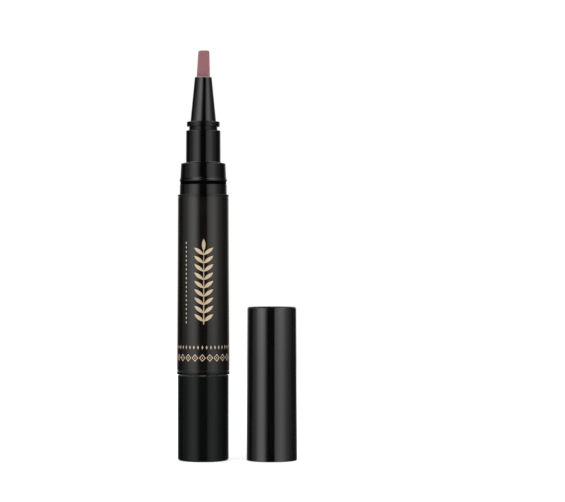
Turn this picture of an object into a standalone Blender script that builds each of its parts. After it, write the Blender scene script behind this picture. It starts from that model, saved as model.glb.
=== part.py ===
# A twist-up nail art pen standing on its knob, with its cap taken off and standing beside it.
# Metres, +Z up. The origin is the middle of the knob's flat bottom, on the pen's axis.
# Turning the knob turns the rotator, which turns the spindle by its flats. The spindle's thread
# climbs in the nut, which the barrel holds still, and pushes the piston up the barrel.

import math
import random

import bmesh
import bpy
from mathutils import Matrix, Vector

# Fits, and how finely round things are made
seat_gap = 0.0003
running_gap = 0.0002
skin_gap = 0.00012
cut_overrun = 0.0006
outer_sides = 44
inner_sides = 28
thread_sides = 16
arc_step = 0.00025
merge_distance = 0.000001
sharp_angle = math.radians(32)

# Knob: a closed cup with four fins inside that carry and turn the rotator
knob_height = 0.0262
knob_wall = 0.00114
knob_floor = 0.0016
knob_foot_round = 0.0011
knob_mouth_round = 0.00025
fin_count = 4
fin_width = 0.0012
grip_width = 0.001
fin_grip_depth = 0.0006
fin_ledge_depth = 0.0015
fin_ledge_height = 0.0104
fin_grip_height = 0.0085

# Barrel: tapered wall, bare ring, shoulder and spigot round one bore
barrel_height = 0.0544
barrel_foot_wall = 0.00124
barrel_waist_wall = 0.0011
barrel_waist_height = 0.0257
barrel_head_wall = 0.00098
rear_bore_step = 0.0003
ring_step = 0.00027
ring_height = 0.00125
ring_round = 0.0002
lip_step = 0.00031
lip_height = 0.0006
lip_round = 0.00015
spigot_foot_wall = 0.00066
spigot_head_wall = 0.00059
spigot_height = 0.0037
label_thickness = 0.00012
label_margin = 0.00015

# Rotator: sleeve in the knob, snap bead in the barrel, boss with the keyed hole
rotator_wall = 0.0009
rotator_step = 0.0002
rotator_bead_height = 0.0008
rotator_bead_rise = 0.0005
rotator_bead_level = 0.0014
rotator_shoulder_height = 0.0003
rotator_web = 0.0005
boss_wall = 0.0012
boss_height = 0.0042
boss_flat_depth = 0.0005

# Click ring: spring fingers that ride past the nut's teeth
click_wall = 0.0007
click_height = 0.0026
finger_count = 3
finger_width = 0.0005
finger_sweep = math.radians(75)
finger_steps = 8

# Drive nut: thread, ratchet skirt and four ribs
nut_height = 0.0051
skirt_clearance = 0.0005
skirt_wall = 0.0005
tooth_count = 12
tooth_depth = 0.00035
tooth_back_share = 0.9
rib_count = 4
rib_width = 0.0013
rib_rise = 0.0005
thread_relief = 0.0002

# Spindle: right-hand thread with two flats, neck and head
thread_pitch = 0.0030
thread_radius = 0.0025
thread_depth = 0.0005
ridge_crest_width = 0.0009
ridge_root_width = 0.0015
ridge_root_sink = 0.0003
spindle_flat = 0.0016
spindle_neck_radius = 0.0014
spindle_head_radius = 0.0021
spindle_head_height = 0.0012

# Piston
piston_height = 0.0069
piston_lip_height = 0.0012
piston_lip_rise = 0.0007
piston_nose_height = 0.0008
piston_nose_radius = 0.0030
piston_base_thickness = 0.0010
piston_skirt_wall = 0.0008
piston_recess_depth = 0.0032
socket_wall = 0.0009

# Collar: plug, snap bead, tapered band and neck
plug_length = 0.0081
plug_wall = 0.0015
seal_thickness = 0.0008
seal_level = 0.0039
seal_sides = 8
bead_rise = 0.0001
bead_height = 0.0007
bead_slope = 0.0004
band_step = 0.00023
band_draft = 0.00023
band_height = 0.0048
band_round = 0.0003
neck_step = 0.00149
neck_draft = 0.00005
neck_height = 0.0098
neck_round = 0.0003
neck_wall = 0.00084
collar_shelf_depth = 0.0062
collar_shelf_width = 0.0010
collar_throat_height = 0.0030

# Nozzle: waist, flange and cone
waist_height = 0.0011
flange_width = 0.00083
flange_height = 0.0016
flange_round = 0.0003
cone_foot_wall = 0.00066
cone_height = 0.0137
tip_wall = 0.00047
tip_round_share = 1.0
nozzle_wall = 0.00095
tip_bore_radius = 0.0021
tip_bore_length = 0.0048
chamber_step = 0.00035
chamber_length = 0.0044
chamber_shoulder = 0.00075

# Brush: backing slice, strands, holder and feed tube
slice_thickness = 0.0006
strand_count = 310
strand_radius = 0.00006
strand_sides = 3
tuft_clearance = 0.0001
tuft_half_depth = 0.0012
tuft_squareness = 3
tuft_tip_width_share = 0.80
tuft_tip_depth_share = 0.72
tuft_lean = 0.00019
tuft_reach = 0.0079
tuft_corner_drop = 0.0004
tuft_unevenness = 0.00012
feed_outer_radius = 0.00035
feed_inner_radius = 0.0002
feed_length = 0.0064
feed_setback = 0.0024
holder_wall = 0.0007
holder_flange_height = 0.0008
holder_end_wall = 0.0014

# Cap and its liner
cap_spacing = 0.00517
cap_wall = 0.00037
cap_rim_wall = 0.00039
cap_top_round = 0.0009
cap_rim_round = 0.00012
cap_end_wall = 0.0012
cap_mouth_clearance = 0.00014
cap_mouth_slack = 0.0002
cap_grip_clearance = 0.00012
cap_tip_clearance = 0.0006
liner_wall = 0.0006
liner_setback = 0.0006
liner_step_clearance = 0.0009
liner_cone_clearance = 0.00064
liner_flange_height = 0.0007
liner_fin_count = 6
liner_fin_width = 0.0008

# Levels up the pen, each from the piece below
barrel_base = knob_height + seat_gap
shoulder_level = barrel_base + barrel_height
spigot_top = shoulder_level + spigot_height
collar_seat = spigot_top + seat_gap
band_base = collar_seat + bead_height + bead_slope
neck_base = band_base + band_height
neck_top = neck_base + neck_height
flange_base = neck_top + waist_height
cone_base = flange_base + flange_height
nozzle_tip = cone_base + cone_height
tuft_tip = nozzle_tip + tuft_reach
shelf_level = neck_top - collar_shelf_depth
holder_flange_top = shelf_level + seat_gap + holder_flange_height
waist_base = holder_flange_top + seat_gap
tip_shoulder = nozzle_tip - tip_bore_length
slice_top = tip_shoulder - seat_gap
holder_top = slice_top - slice_thickness - seat_gap
rotator_base = knob_floor + fin_ledge_height + seat_gap
rotator_shoulder = barrel_base + rotator_bead_level + rotator_bead_height + rotator_shoulder_height
key_base = rotator_shoulder - rotator_web
boss_top = rotator_shoulder + boss_height
nut_base = boss_top + seat_gap
nut_top = nut_base + nut_height
piston_base = nut_top + seat_gap
rear_bore_top = nut_top + seat_gap
skirt_base = rotator_shoulder + skirt_clearance
liner_mouth_height = neck_base - shoulder_level + liner_setback
liner_step_level = cone_base - shoulder_level + liner_step_clearance
liner_top = tuft_tip - shoulder_level + cap_tip_clearance + liner_wall
cap_height = liner_top + seat_gap + cap_end_wall
cap_mouth_depth = band_base - shoulder_level + cap_mouth_slack

# Radii that follow from their neighbours, outwards from the nozzle's tip bore to the barrel's bore
tuft_half_width = tip_bore_radius - tuft_clearance
cone_head_radius = tip_bore_radius + tip_wall
chamber_radius = tip_bore_radius + chamber_step
holder_radius = chamber_radius - running_gap
feed_hole_radius = feed_outer_radius + running_gap
nozzle_bore_radius = chamber_radius + chamber_shoulder
cone_foot_radius = nozzle_bore_radius + cone_foot_wall
waist_radius = nozzle_bore_radius + nozzle_wall
flange_radius = waist_radius + flange_width
neck_bore_radius = waist_radius + running_gap
neck_head_radius = neck_bore_radius + neck_wall
neck_foot_radius = neck_head_radius + neck_draft
band_head_radius = neck_foot_radius + neck_step
band_foot_radius = band_head_radius + band_draft
bead_radius = band_foot_radius + band_step
spigot_head_radius = bead_radius - bead_rise
barrel_bore_radius = spigot_head_radius - spigot_head_wall

# Radii that follow from the barrel's bore
barrel_foot_radius = barrel_bore_radius + barrel_foot_wall
barrel_waist_radius = barrel_bore_radius + barrel_waist_wall
barrel_head_radius = barrel_bore_radius + barrel_head_wall
barrel_rear_bore_radius = barrel_bore_radius + rear_bore_step
ring_radius = barrel_foot_radius + ring_step
lip_radius = barrel_head_radius + lip_step
spigot_foot_radius = barrel_bore_radius + spigot_foot_wall
plug_radius = barrel_bore_radius - running_gap
seal_groove_radius = barrel_bore_radius - seal_thickness - running_gap
piston_radius = barrel_bore_radius - running_gap
piston_waist_radius = piston_radius - piston_lip_rise
nut_radius = barrel_rear_bore_radius - seat_gap
rib_radius = nut_radius + rib_rise
rib_groove_radius = rib_radius + running_gap
tooth_root_radius = nut_radius - skirt_wall
tooth_tip_radius = tooth_root_radius - tooth_depth
rotator_neck_radius = barrel_rear_bore_radius - seat_gap
rotator_bead_radius = rotator_neck_radius + rotator_bead_rise
snap_groove_radius = rotator_bead_radius + seat_gap
rotator_radius = rotator_neck_radius - rotator_step
rotator_bore_radius = rotator_radius - rotator_wall
knob_bore_radius = rotator_radius + seat_gap
knob_radius = knob_bore_radius + knob_wall

# Radii that follow from the spindle's thread
core_radius = thread_radius - thread_depth
key_radius = thread_radius + running_gap
key_flat = spindle_flat + running_gap
boss_radius = key_radius + boss_wall
boss_flat = boss_radius - boss_flat_depth

# The cap and its liner go over the collar, and stand beside the pen
cap_bore_radius = band_foot_radius + cap_grip_clearance
cap_mouth_radius = bead_radius + cap_mouth_clearance
cap_head_radius = cap_bore_radius + cap_wall
cap_rim_radius = cap_mouth_radius + cap_rim_wall
cap_distance = ring_radius + cap_spacing + cap_rim_radius
liner_bore_radius = neck_foot_radius + running_gap
liner_narrow_radius = cone_foot_radius + liner_cone_clearance


def clear_scene():
    for obj in list(bpy.data.objects):
        bpy.data.objects.remove(obj)


def make_collection(name):
    collection = bpy.data.collections.new(name)
    bpy.context.scene.collection.children.link(collection)
    return collection


def link_mesh(name, mesh, collection):
    obj = bpy.data.objects.new(name, mesh)
    collection.objects.link(obj)
    return obj


def paint(obj, colour, roughness, metallic=0.0):
    """Gives the piece its own Principled material."""
    finish = bpy.data.materials.new(obj.name + "_finish")
    finish.use_nodes = True
    shader = finish.node_tree.nodes["Principled BSDF"]
    shader.inputs["Base Color"].default_value = (*colour, 1.0)
    shader.inputs["Roughness"].default_value = roughness
    shader.inputs["Metallic"].default_value = metallic
    finish.diffuse_color = (*colour, 1.0)
    obj.data.materials.clear()
    obj.data.materials.append(finish)


def rounded(corners):
    """The outline's points, with an arc in place of each corner (radius, height, size of round)."""
    points = []
    for index, corner in enumerate(corners):
        here = Vector(corner[:2])
        if len(corner) < 3:
            points.append(here)
            continue
        back = (Vector(corners[index - 1][:2]) - here).normalized()
        ahead = (Vector(corners[(index + 1) % len(corners)][:2]) - here).normalized()
        half_angle = back.angle(ahead) / 2
        centre = here + (back + ahead).normalized() * corner[2] / math.sin(half_angle)
        reach = corner[2] / math.tan(half_angle)
        start = here + back * reach - centre
        end = here + ahead * reach - centre
        steps = math.ceil(corner[2] / arc_step)
        for step in range(steps + 1):
            points.append(centre + start.slerp(end, step / steps) * corner[2])
    return points


def turned(name, corners, sides, collection=None):
    """A solid of revolution about Z, whose outline runs down its outer side and, on a ring, back up."""
    mesh = bpy.data.meshes.new(name)
    outline = bmesh.new()
    points = [outline.verts.new((radius, 0, height)) for radius, height in rounded(corners)]
    for start, end in zip(points, points[1:]):
        outline.edges.new((start, end))
    if corners[0][0] > 0:
        outline.edges.new((points[-1], points[0]))
    outline.to_mesh(mesh)
    outline.free()
    obj = link_mesh(name, mesh, collection or pen)
    screw = obj.modifiers.new("Turn", "SCREW")
    screw.steps = sides
    screw.render_steps = sides
    screw.use_merge_vertices = True
    screw.merge_threshold = merge_distance
    return obj


def box(name, low, high):
    """A helper block between two opposite corners."""
    mesh = bpy.data.meshes.new(name)
    block = bmesh.new()
    low, high = Vector(map(min, low, high)), Vector(map(max, low, high))
    size = Matrix.Diagonal((*(high - low), 1))
    bmesh.ops.create_cube(block, size=1, matrix=Matrix.Translation((low + high) / 2) @ size)
    block.to_mesh(mesh)
    block.free()
    return link_mesh(name, mesh, helpers)


def ring_of_blocks(name, count, width, inner, outer, low, high):
    """Blocks spread evenly round Z, each from radius inner to outer and from low to high."""
    mesh = bpy.data.meshes.new(name)
    blocks = bmesh.new()
    middle = Matrix.Translation(((inner + outer) / 2, 0, (low + high) / 2))
    size = Matrix.Diagonal((outer - inner, width, high - low, 1))
    for index in range(count):
        spin = Matrix.Rotation(math.tau * index / count, 4, "Z")
        bmesh.ops.create_cube(blocks, size=1, matrix=spin @ middle @ size)
    blocks.to_mesh(mesh)
    blocks.free()
    return link_mesh(name, mesh, helpers)


def plate(name, outline, low, high):
    """A flat outline in X and Y, made solid from low to high."""
    curve = bpy.data.curves.new(name + "_outline", "CURVE")
    curve.dimensions = "2D"
    curve.fill_mode = "BOTH"
    curve.extrude = (high - low) / 2
    spline = curve.splines.new("POLY")
    spline.points.add(len(outline) - 1)
    spline.use_cyclic_u = True
    for point, (x, y) in zip(spline.points, outline):
        point.co = (x, y, 0, 1)
    drawn = bpy.data.objects.new(name + "_outline", curve)
    helpers.objects.link(drawn)
    drawn.location.z = (low + high) / 2
    return as_mesh(name, drawn, helpers)


def as_mesh(name, source, collection):
    """Replaces a curve or a modified object by the mesh that it evaluates to."""
    bpy.context.view_layer.update()
    graph = bpy.context.evaluated_depsgraph_get()
    mesh = bpy.data.meshes.new_from_object(source.evaluated_get(graph))
    shape = bmesh.new()
    shape.from_mesh(mesh)
    bmesh.ops.remove_doubles(shape, verts=shape.verts, dist=merge_distance)
    bmesh.ops.holes_fill(shape, edges=shape.edges)
    bmesh.ops.recalc_face_normals(shape, faces=shape.faces)
    shape.to_mesh(mesh)
    shape.free()
    mesh.name = name
    obj = link_mesh(name, mesh, collection)
    obj.matrix_world = source.matrix_world
    bpy.data.objects.remove(source)
    return obj


def combine(obj, other, operation):
    """Cuts, joins or intersects the piece with a helper, which is then hidden."""
    modifier = obj.modifiers.new(other.name, "BOOLEAN")
    modifier.operation = operation
    modifier.object = other
    modifier.solver = "EXACT"
    other.hide_render = True
    other.display_type = "WIRE"


def flatted_bar(name, radius, flat, low, high):
    """A round bar with two flats, facing +Y and -Y."""
    bar = turned(name, [(0, high), (radius, high), (radius, low), (0, low)], inner_sides, helpers)
    cheeks = box(
        name + "_cheeks",
        (-2 * radius, -flat, low - cut_overrun),
        (2 * radius, flat, high + cut_overrun),
    )
    combine(bar, cheeks, "INTERSECT")
    return bar


def helical_ridge(name, sides_of_ridge, low, turns):
    """A right-hand helical ridge about Z, whose section is given as (radius, height) points."""
    mesh = bpy.data.meshes.new(name)
    section = bmesh.new()
    points = [section.verts.new((radius, 0, low + height)) for radius, height in sides_of_ridge]
    for index, point in enumerate(points):
        section.edges.new((point, points[(index + 1) % len(points)]))
    section.to_mesh(mesh)
    section.free()
    swept = link_mesh(name + "_section", mesh, helpers)
    screw = swept.modifiers.new("Climb", "SCREW")
    screw.screw_offset = thread_pitch
    screw.iterations = turns
    screw.steps = thread_sides
    screw.render_steps = thread_sides
    return as_mesh(name, swept, helpers)


def settle(obj):
    """Applies the piece's modifiers, then shades it smooth except across its sharp edges."""
    graph = bpy.context.evaluated_depsgraph_get()
    mesh = bpy.data.meshes.new_from_object(obj.evaluated_get(graph))
    mesh.name = obj.name
    obj.modifiers.clear()
    obj.data = mesh
    mesh.shade_smooth()
    mesh.set_sharp_from_angle(angle=sharp_angle)


def make_knob():
    foot = (knob_radius, 0, knob_foot_round)
    ledge_radius = knob_bore_radius - fin_ledge_depth
    grip_radius = knob_bore_radius - fin_grip_depth
    ledge_top = knob_floor + fin_ledge_height
    root_sink = knob_wall / 2
    knob = turned(
        "knob",
        [
            (0, knob_floor),
            (knob_bore_radius, knob_floor),
            (knob_bore_radius, knob_height),
            (knob_radius, knob_height, knob_mouth_round),
            foot,
            (0, 0),
        ],
        outer_sides,
    )
    ledges = ring_of_blocks(
        "knob_ledges",
        fin_count,
        fin_width,
        ledge_radius,
        knob_bore_radius + root_sink,
        knob_floor - root_sink,
        ledge_top,
    )
    grips = ring_of_blocks(
        "knob_grips",
        fin_count,
        grip_width,
        grip_radius,
        knob_bore_radius + root_sink / 2,
        ledge_top - root_sink,
        ledge_top + fin_grip_height,
    )
    combine(ledges, grips, "UNION")
    combine(knob, ledges, "UNION")
    paint(knob, (0.010, 0.010, 0.011), 0.25)
    return knob


def make_barrel():
    ring_top = barrel_base + ring_height
    waist_level = barrel_base + barrel_waist_height
    lip_base = shoulder_level - lip_height
    bead_base = barrel_base + rotator_bead_level
    barrel = turned(
        "barrel",
        [
            (spigot_head_radius, spigot_top),
            (spigot_foot_radius, shoulder_level),
            (lip_radius, shoulder_level, lip_round),
            (lip_radius, lip_base),
            (barrel_head_radius, lip_base),
            (barrel_waist_radius, waist_level),
            (barrel_foot_radius, ring_top),
            (ring_radius, ring_top, ring_round),
            (ring_radius, barrel_base, ring_round),
            (barrel_rear_bore_radius, barrel_base),
            (barrel_rear_bore_radius, bead_base - seat_gap),
            (snap_groove_radius, bead_base - seat_gap),
            (snap_groove_radius, bead_base + rotator_bead_height + seat_gap),
            (barrel_rear_bore_radius, bead_base + rotator_bead_height + seat_gap),
            (barrel_rear_bore_radius, rear_bore_top),
            (barrel_bore_radius, rear_bore_top),
            (barrel_bore_radius, spigot_top),
        ],
        outer_sides,
    )
    grooves = ring_of_blocks(
        "barrel_rib_grooves",
        rib_count,
        rib_width + 2 * running_gap,
        barrel_bore_radius,
        rib_groove_radius,
        barrel_base - cut_overrun,
        rear_bore_top,
    )
    combine(barrel, grooves, "DIFFERENCE")
    paint(barrel, (0.014, 0.013, 0.012), 0.30)
    return barrel


def make_label_sleeve():
    low = barrel_base + ring_height + label_margin
    high = shoulder_level - lip_height - label_margin
    waist_level = barrel_base + barrel_waist_height
    skin = skin_gap + label_thickness
    sleeve = turned(
        "label_sleeve",
        [
            (barrel_head_radius + skin, high),
            (barrel_waist_radius + skin, waist_level),
            (barrel_foot_radius + skin, low),
            (barrel_foot_radius + skin_gap, low),
            (barrel_waist_radius + skin_gap, waist_level),
            (barrel_head_radius + skin_gap, high),
        ],
        outer_sides,
    )
    paint(sleeve, (0.022, 0.019, 0.016), 0.38)
    return sleeve


def make_rotator():
    bead_base = barrel_base + rotator_bead_level
    bead_edge = rotator_bead_rise / 2
    rotator = turned(
        "rotator",
        [
            (0, boss_top),
            (boss_radius, boss_top),
            (boss_radius, rotator_shoulder),
            (rotator_neck_radius, rotator_shoulder),
            (rotator_neck_radius, bead_base + rotator_bead_height),
            (rotator_bead_radius, bead_base + rotator_bead_height - bead_edge),
            (rotator_bead_radius, bead_base + bead_edge),
            (rotator_neck_radius, bead_base),
            (rotator_neck_radius, knob_height),
            (rotator_radius, knob_height),
            (rotator_radius, rotator_base),
            (rotator_bore_radius, rotator_base),
            (rotator_bore_radius, key_base),
            (0, key_base),
        ],
        outer_sides,
    )
    keyhole = flatted_bar(
        "rotator_keyhole",
        key_radius,
        key_flat,
        key_base - cut_overrun,
        boss_top + cut_overrun,
    )
    grooves = ring_of_blocks(
        "rotator_grooves",
        fin_count,
        grip_width + 2 * running_gap,
        knob_bore_radius - fin_grip_depth - running_gap,
        knob_bore_radius,
        rotator_base - cut_overrun,
        knob_floor + fin_ledge_height + fin_grip_height + seat_gap,
    )
    combine(rotator, keyhole, "DIFFERENCE")
    combine(rotator, grooves, "DIFFERENCE")
    for side in (1, -1):
        cheek = box(
            f"rotator_cheek_{side}",
            (-2 * boss_radius, side * boss_flat, rotator_shoulder),
            (2 * boss_radius, side * 2 * boss_radius, boss_top + cut_overrun),
        )
        combine(rotator, cheek, "DIFFERENCE")
    paint(rotator, (0.60, 0.60, 0.58), 0.45)
    return rotator


def finger_outline(turn, root_radius, tip_radius):
    """A finger that leaves the ring and curls outwards, seen from above."""
    outer, inner = [], []
    for step in range(finger_steps + 1):
        share = step / finger_steps
        angle = turn + finger_sweep * share
        radius = root_radius + (tip_radius - root_radius) * share
        outer.append((radius * math.cos(angle), radius * math.sin(angle)))
        radius -= finger_width
        inner.append((radius * math.cos(angle), radius * math.sin(angle)))
    return outer + inner[::-1]


def make_click_ring():
    low = rotator_shoulder + seat_gap
    high = low + click_height
    outer = boss_radius + running_gap + click_wall
    ring = turned(
        "click_ring",
        [(0, high), (outer, high), (outer, low), (0, low)],
        inner_sides,
    )
    hole = flatted_bar(
        "click_ring_hole",
        boss_radius + running_gap,
        boss_flat + running_gap,
        low - cut_overrun,
        high + cut_overrun,
    )
    combine(ring, hole, "DIFFERENCE")
    for index in range(finger_count):
        turn = math.tau * index / finger_count
        outline = finger_outline(turn, outer, tooth_tip_radius - running_gap)
        combine(ring, plate(f"click_finger_{index + 1}", outline, low, high), "UNION")
    paint(ring, (0.75, 0.72, 0.62), 0.40)
    return ring


def ratchet_outline():
    """Saw teeth round Z: each rises along its back and drops steeply."""
    pitch = math.tau / tooth_count
    points = []
    for index in range(tooth_count):
        start = pitch * index
        for radius, angle in (
            (tooth_root_radius, start),
            (tooth_tip_radius, start + pitch * tooth_back_share),
        ):
            points.append((radius * math.cos(angle), radius * math.sin(angle)))
    return points


def make_drive_nut():
    bore = thread_radius + running_gap
    nut = turned(
        "drive_nut",
        [
            (nut_radius, nut_top),
            (nut_radius, skirt_base),
            (bore, skirt_base),
            (bore, nut_top),
        ],
        inner_sides,
    )
    teeth = plate("nut_teeth", ratchet_outline(), skirt_base - cut_overrun, nut_base)
    ribs = ring_of_blocks(
        "nut_ribs",
        rib_count,
        rib_width,
        nut_radius - rib_rise,
        rib_radius,
        nut_base,
        nut_top - thread_relief,
    )
    crest = core_radius + running_gap
    root = bore + ridge_root_sink
    half_crest = (thread_pitch - ridge_width(crest)) / 2 - running_gap
    half_root = (thread_pitch - ridge_width(root)) / 2 - running_gap
    turns_below = math.floor((nut_base - thread_level()) / thread_pitch) - 1
    ridge = helical_ridge(
        "nut_thread",
        [(root, half_root), (root, -half_root), (crest, -half_crest), (crest, half_crest)],
        thread_level() + (turns_below + 0.5) * thread_pitch,
        math.ceil(nut_height / thread_pitch) + 2,
    )
    trim = turned(
        "nut_thread_trim",
        [
            (0, nut_top - thread_relief),
            (nut_radius, nut_top - thread_relief),
            (nut_radius, nut_base + thread_relief),
            (0, nut_base + thread_relief),
        ],
        inner_sides,
        helpers,
    )
    combine(ridge, trim, "INTERSECT")
    combine(nut, teeth, "DIFFERENCE")
    combine(nut, ribs, "UNION")
    combine(nut, ridge, "UNION")
    paint(nut, (0.62, 0.62, 0.60), 0.45)
    return nut


def thread_level():
    """Where the spindle's ridge starts, a turn below the spindle's end."""
    return knob_floor + seat_gap - thread_pitch


def ridge_width(radius):
    """How wide the spindle's ridge is, up and down, at a radius."""
    slope = (ridge_root_width - ridge_crest_width) / thread_depth
    return ridge_crest_width + slope * (thread_radius - radius)


def make_spindle():
    low = knob_floor + seat_gap
    thread_top = nut_top
    neck_top_level = piston_base + piston_base_thickness + seat_gap
    head_top = neck_top_level + spindle_head_height
    sink = core_radius - ridge_root_sink
    half_crest = ridge_crest_width / 2
    half_root = ridge_width(sink) / 2
    spindle = turned(
        "spindle",
        [
            (0, thread_top + thread_pitch),
            (core_radius, thread_top + thread_pitch),
            (core_radius, low - thread_pitch),
            (0, low - thread_pitch),
        ],
        thread_sides,
    )
    ridge = helical_ridge(
        "spindle_thread",
        [
            (sink, half_root),
            (thread_radius, half_crest),
            (thread_radius, -half_crest),
            (sink, -half_root),
        ],
        thread_level(),
        math.ceil((thread_top - low) / thread_pitch) + 2,
    )
    flats = box(
        "spindle_flats",
        (-2 * thread_radius, -spindle_flat, low),
        (2 * thread_radius, spindle_flat, thread_top),
    )
    head = turned(
        "spindle_head",
        [
            (0, head_top),
            (spindle_head_radius, head_top),
            (spindle_head_radius, neck_top_level),
            (spindle_neck_radius, neck_top_level),
            (spindle_neck_radius, thread_top - spindle_neck_radius),
            (0, thread_top - spindle_neck_radius),
        ],
        thread_sides,
        helpers,
    )
    combine(spindle, ridge, "UNION")
    combine(spindle, flats, "INTERSECT")
    combine(spindle, head, "UNION")
    paint(spindle, (0.70, 0.70, 0.68), 0.40)
    return spindle


def make_piston():
    top = piston_base + piston_height
    socket_radius = spindle_head_radius + seat_gap
    socket_top = piston_base + piston_base_thickness + spindle_head_height + 2 * seat_gap
    hub_radius = socket_radius + socket_wall
    skirt_radius = piston_waist_radius - piston_skirt_wall
    recess_top = piston_base + piston_recess_depth
    piston = turned(
        "piston",
        [
            (0, top + piston_nose_height),
            (piston_nose_radius, top + piston_nose_height),
            (piston_radius, top),
            (piston_radius, top - piston_lip_height / 2),
            (piston_waist_radius, top - piston_lip_height),
            (piston_waist_radius, piston_base + piston_lip_height),
            (piston_radius, piston_base + piston_lip_height / 2),
            (piston_radius, piston_base),
            (skirt_radius, piston_base),
            (skirt_radius, recess_top),
            (hub_radius, recess_top),
            (hub_radius, piston_base),
            (spindle_neck_radius + seat_gap, piston_base),
            (spindle_neck_radius + seat_gap, piston_base + piston_base_thickness),
            (socket_radius, piston_base + piston_base_thickness),
            (socket_radius, socket_top),
            (0, socket_top),
        ],
        inner_sides,
    )
    paint(piston, (0.80, 0.80, 0.78), 0.35)
    return piston


def make_collar():
    plug_base = collar_seat - plug_length
    groove_top = plug_base + seal_level + seal_thickness / 2 + running_gap
    groove_base = plug_base + seal_level - seal_thickness / 2 - running_gap
    plug_bore = plug_radius - plug_wall
    throat = neck_bore_radius - collar_shelf_width
    throat_base = shelf_level - collar_throat_height
    collar = turned(
        "collar",
        [
            (neck_head_radius, neck_top, neck_round),
            (neck_foot_radius, neck_base),
            (band_head_radius, neck_base, band_round),
            (band_foot_radius, band_base),
            (bead_radius, band_base - bead_slope),
            (bead_radius, collar_seat),
            (plug_radius, collar_seat),
            (plug_radius, groove_top),
            (seal_groove_radius, groove_top),
            (seal_groove_radius, groove_base),
            (plug_radius, groove_base),
            (plug_radius, plug_base),
            (plug_bore, plug_base),
            (plug_bore, collar_seat),
            (throat, throat_base),
            (throat, shelf_level),
            (neck_bore_radius, shelf_level),
            (neck_bore_radius, neck_top),
        ],
        outer_sides,
    )
    paint(collar, (0.010, 0.010, 0.010), 0.22)
    return collar


def make_collar_seal():
    level = collar_seat - plug_length + seal_level
    middle = (seal_groove_radius + barrel_bore_radius) / 2
    bpy.ops.mesh.primitive_torus_add(
        major_radius=middle,
        minor_radius=seal_thickness / 2,
        major_segments=inner_sides,
        minor_segments=seal_sides,
        location=(0, 0, level),
    )
    seal = bpy.context.object
    seal.name = "collar_seal"
    for collection in list(seal.users_collection):
        collection.objects.unlink(seal)
    pen.objects.link(seal)
    paint(seal, (0.55, 0.10, 0.08), 0.55)
    return seal


def make_nozzle():
    chamber_base = tip_shoulder - chamber_length
    nozzle = turned(
        "nozzle",
        [
            (cone_head_radius, nozzle_tip, tip_wall * tip_round_share),
            (cone_foot_radius, cone_base),
            (flange_radius, cone_base, flange_round),
            (flange_radius, flange_base),
            (waist_radius, flange_base),
            (waist_radius, waist_base),
            (nozzle_bore_radius, waist_base),
            (nozzle_bore_radius, flange_base),
            (chamber_radius, chamber_base),
            (chamber_radius, tip_shoulder),
            (tip_bore_radius, tip_shoulder),
            (tip_bore_radius, nozzle_tip),
        ],
        outer_sides,
    )
    paint(nozzle, (0.010, 0.010, 0.010), 0.20)
    return nozzle


def make_brush_holder():
    rim_radius = neck_bore_radius - running_gap
    channel = holder_radius - holder_wall
    end_wall = holder_top - holder_end_wall
    holder = turned(
        "brush_holder",
        [
            (holder_radius, holder_top),
            (holder_radius, holder_flange_top),
            (rim_radius, holder_flange_top),
            (rim_radius, shelf_level + seat_gap),
            (channel, shelf_level + seat_gap),
            (channel, end_wall),
            (feed_hole_radius, end_wall),
            (feed_hole_radius, holder_top),
        ],
        inner_sides,
    )
    paint(holder, (0.80, 0.80, 0.78), 0.40)
    return holder


def make_feed_tube():
    top = nozzle_tip - feed_setback
    tube = turned(
        "feed_tube",
        [
            (feed_outer_radius, top),
            (feed_outer_radius, top - feed_length),
            (feed_inner_radius, top - feed_length),
            (feed_inner_radius, top),
        ],
        thread_sides,
    )
    paint(tube, (0.70, 0.70, 0.70), 0.25, 1.0)
    return tube


def strand_roots():
    """A close-packed grid over the tuft's squarish oval, with the feed tube's hole left free."""
    hole = feed_hole_radius + strand_radius
    oval_share = math.gamma(1 + 1 / tuft_squareness) ** 2 / math.gamma(1 + 2 / tuft_squareness)
    area = 4 * tuft_half_width * tuft_half_depth * oval_share - math.pi * hole**2
    row_share = math.sqrt(3) / 2
    step = math.sqrt(area / strand_count / row_share)
    rows = math.ceil(tuft_half_depth / (step * row_share))
    columns = math.ceil(tuft_half_width / step)
    roots = []
    for row in range(-rows, rows + 1):
        for column in range(-columns, columns + 1):
            x = (column + 0.5 * (row % 2)) * step
            y = row * row_share * step
            across = abs(x / tuft_half_width) ** tuft_squareness
            reach = across + abs(y / tuft_half_depth) ** tuft_squareness
            if reach <= 1 and math.hypot(x, y) >= hole:
                roots.append((x, y, reach))
    return roots


def strand_tip(x, y, reach, chance):
    """Where a strand ends: drawn in, leaning a little to +X, and lower at the tuft's rim."""
    height = tuft_tip - tuft_corner_drop * reach**2 - tuft_unevenness * chance.random()
    return Vector((x * tuft_tip_width_share + tuft_lean, y * tuft_tip_depth_share, height))


def make_brush_bristles():
    chance = random.Random(5)
    outer = chamber_radius - running_gap
    slice_base = slice_top - slice_thickness
    bristles = turned(
        "brush_bristles",
        [
            (outer, slice_top),
            (outer, slice_base),
            (feed_hole_radius, slice_base),
            (feed_hole_radius, slice_top),
        ],
        inner_sides,
    )
    mesh = bpy.data.meshes.new("tuft_strands")
    strands = bmesh.new()
    for x, y, reach in strand_roots():
        root = Vector((x, y, slice_top - slice_thickness / 2))
        tip = strand_tip(x, y, reach, chance)
        along = (tip - root).to_track_quat("Z", "Y").to_matrix().to_4x4()
        bmesh.ops.create_cone(
            strands,
            cap_ends=True,
            segments=strand_sides,
            radius1=strand_radius,
            radius2=strand_radius,
            depth=(tip - root).length,
            matrix=Matrix.Translation((root + tip) / 2) @ along,
        )
    strands.to_mesh(mesh)
    strands.free()
    combine(bristles, link_mesh("tuft_strands", mesh, helpers), "UNION")
    paint(bristles, (0.36, 0.15, 0.18), 0.35)
    return bristles


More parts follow.
